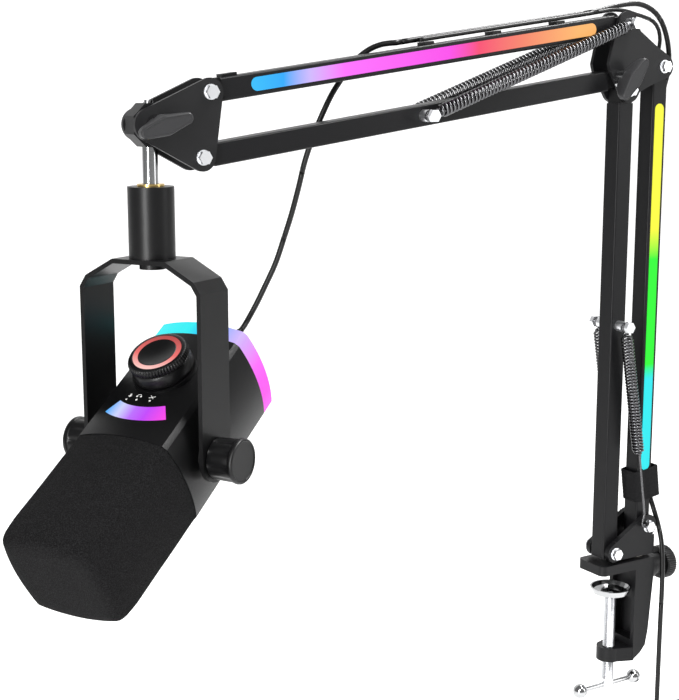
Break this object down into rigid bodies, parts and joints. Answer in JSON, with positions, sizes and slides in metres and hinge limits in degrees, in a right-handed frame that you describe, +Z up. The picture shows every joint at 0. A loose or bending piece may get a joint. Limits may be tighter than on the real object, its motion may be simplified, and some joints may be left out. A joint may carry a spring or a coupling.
{
  "type": "desktop microphone on a sprung boom arm",
  "caption": "Desktop microphone with a foam windscreen in a yoke, on a sprung boom arm with light bars, clamp and cable.",
  "frame": {"origin": "underside of the clamp's upper jaw, where it rests on the desk, on the clamp screw's axis", "axes": "+Z up, +X from the screw towards the clamp's spine in the plane that the arm folds in, -Y towards the levers' side"},
  "size_m": [0.6106, 0.1597, 0.6935],
  "materials": {
    "coated_steel": "satin powder coat",
    "plate_steel": "satin powder coat, dark grey",
    "chrome": "polished",
    "brushed": "brushed",
    "spring_steel": "gloss black spring wire",
    "black_plastic": "matte",
    "lever_plastic": "matte, dark grey",
    "diffuser": "lit diffuser",
    "brass": "machined",
    "foam": "open-cell foam",
    "cable": "matte",
    "webbing": "woven",
    "nylon": "natural nylon",
    "board": "circuit board"
  },
  "bodies": {
    "clamp": {"clamp_frame": "coated_steel", "swivel_washer": "nylon", "cable_coil": "cable", "usb_plug": "black_plastic"},
    "pad": {"clamp_pad": "chrome"},
    "screw": {"clamp_screw": "chrome"},
    "tommy_bar": {"t_bar": "chrome"},
    "lock": {"lock_knob": "black_plastic"},
    "base": {"base_bracket": "coated_steel", "swivel_pin": "brushed", "base_fasteners": "chrome", "cable_drop": "cable"},
    "lower_rear": {"lower_rear_tube": "coated_steel", "lower_rear_plugs": "black_plastic", "lower_light_bar": "diffuser", "cable_strap": "webbing", "cable_lower_run": "cable"},
    "lower_front": {"lower_front_tube": "coated_steel", "lower_front_plugs": "black_plastic", "lower_spring_bolt": "chrome", "lower_springs": "spring_steel"},
    "knee": {"knee_plate_front": "plate_steel", "knee_plate_back": "plate_steel", "knee_fasteners": "chrome", "cable_knee_loop": "cable", "light_jumper": "cable"},
    "knee_lock": {"knee_lever": "lever_plastic"},
    "upper_top": {"upper_top_tube": "coated_steel", "upper_top_plugs": "black_plastic", "upper_light_bar": "diffuser", "cable_clips": "black_plastic", "cable_arm_run": "cable"},
    "upper_bottom": {"upper_bottom_tube": "coated_steel", "upper_bottom_plugs": "black_plastic", "upper_spring_bolt": "chrome", "upper_springs": "spring_steel"},
    "head": {"head_plate_front": "plate_steel", "head_plate_back": "plate_steel", "head_fasteners": "chrome", "cable_span": "cable"},
    "head_lock": {"head_lever": "lever_plastic"},
    "mic_mount": {"pivot_block": "coated_steel", "stud": "chrome"},
    "yoke": {"thread_insert": "brass", "adapter_sleeve": "coated_steel", "yoke_strap": "coated_steel"},
    "left_knob": {"yoke_knob_left": "black_plastic"},
    "right_knob": {"yoke_knob_right": "black_plastic"},
    "microphone": {"mic_body": "coated_steel", "rear_panel": "black_plastic", "light_ring": "diffuser", "mute_strip": "diffuser", "grille": "brushed", "capsule": "brushed", "main_board": "board", "windscreen": "foam", "mic_plug": "black_plastic"},
    "dial": {"gain_knob": "black_plastic", "gain_knob_ring": "diffuser"},
    "button": {"light_button": "black_plastic"}
  },
  "joints": [
    {"name": "pad_travel", "type": "slide", "parent": "clamp", "child": "pad", "axis": [0, 0, 1], "range_m": [-0.035, 0.015]},
    {"name": "clamp_screw_turn", "type": "hinge", "parent": "pad", "child": "screw", "pos_m": [0, 0, -0.06], "axis": [0, 0, 1], "continuous": true},
    {"name": "tommy_bar_slide", "type": "slide", "parent": "screw", "child": "tommy_bar", "axis": [1, 0, 0], "range_m": [-0.018, 0.018]},
    {"name": "lock_knob_turn", "type": "hinge", "parent": "clamp", "child": "lock", "pos_m": [0.056, 0, -0.005], "axis": [1, 0, 0], "continuous": true},
    {"name": "base_swivel", "type": "hinge", "parent": "clamp", "child": "base", "pos_m": [0.0235, 0, 0.01], "axis": [0, 0, 1], "range_deg": [-90, 90], "deforming": ["cable_drop"]},
    {"name": "lower_arm", "type": "hinge", "parent": "base", "child": "lower_rear", "pos_m": [0.026, 0, 0.035], "axis": [0, 1, 0], "range_deg": [-40, 30]},
    {"name": "lower_link", "type": "hinge", "parent": "base", "child": "lower_front", "pos_m": [-0.0088, 0, 0.017], "axis": [0, 1, 0], "range_deg": [-40, 30], "deforming": ["lower_springs"]},
    {"name": "knee_level", "type": "hinge", "parent": "lower_rear", "child": "knee", "pos_m": [0.026, 0, 0.407], "axis": [0, 1, 0], "range_deg": [-30, 40], "deforming": ["cable_knee_loop", "light_jumper"]},
    {"name": "knee_lever_turn", "type": "hinge", "parent": "knee", "child": "knee_lock", "pos_m": [-0.019, 0, 0.397], "axis": [0, 1, 0], "continuous": true},
    {"name": "upper_arm", "type": "hinge", "parent": "knee", "child": "upper_top", "pos_m": [-0.013, 0, 0.4385], "axis": [0, 1, 0], "range_deg": [-45, 40]},
    {"name": "upper_link", "type": "hinge", "parent": "knee", "child": "upper_bottom", "pos_m": [-0.019, 0, 0.397], "axis": [0, 1, 0], "range_deg": [-45, 40], "deforming": ["upper_springs"]},
    {"name": "head_level", "type": "hinge", "parent": "upper_top", "child": "head", "pos_m": [-0.36734, 0, 0.38744], "axis": [0, 1, 0], "range_deg": [-40, 45], "deforming": ["cable_span"]},
    {"name": "head_lever_turn", "type": "hinge", "parent": "head", "child": "head_lock", "pos_m": [-0.40554, 0, 0.36684], "axis": [0, 1, 0], "continuous": true},
    {"name": "mount_swing", "type": "hinge", "parent": "head", "child": "mic_mount", "pos_m": [-0.40554, 0, 0.36684], "axis": [0, 1, 0], "range_deg": [-18, 60]},
    {"name": "yoke_swivel", "type": "hinge", "parent": "mic_mount", "child": "yoke", "pos_m": [-0.40554, 0, 0.3], "axis": [0, 0, 1], "range_deg": [-90, 90]},
    {"name": "mic_tilt", "type": "hinge", "parent": "yoke", "child": "microphone", "pos_m": [-0.40554, 0, 0.1553], "axis": [0.506, -0.8625, 0], "range_deg": [-70, 30]},
    {"name": "left_knob_turn", "type": "hinge", "parent": "yoke", "child": "left_knob", "pos_m": [-0.4359, 0.05175, 0.1553], "axis": [0.506, -0.8625, 0], "continuous": true},
    {"name": "right_knob_turn", "type": "hinge", "parent": "yoke", "child": "right_knob", "pos_m": [-0.37518, -0.05175, 0.1553], "axis": [0.506, -0.8625, 0], "continuous": true},
    {"name": "gain_turn", "type": "hinge", "parent": "microphone", "child": "dial", "pos_m": [-0.39938, 0.00361, 0.21223], "axis": [-0.4468, -0.2621, 0.8554], "continuous": true},
    {"name": "light_button_press", "type": "slide", "parent": "microphone", "child": "button", "axis": [-0.7378, -0.4328, -0.518], "range_m": [0, 0.001], "stiffness_N_per_m": 400, "springref_m": -0.0005}
  ],
  "couplings": [
    {"joint": "lower_link", "follows": "lower_arm", "ratio": 1},
    {"joint": "knee_level", "follows": "lower_arm", "ratio": -1},
    {"joint": "upper_link", "follows": "upper_arm", "ratio": 1},
    {"joint": "head_level", "follows": "upper_arm", "ratio": -1}
  ]
}
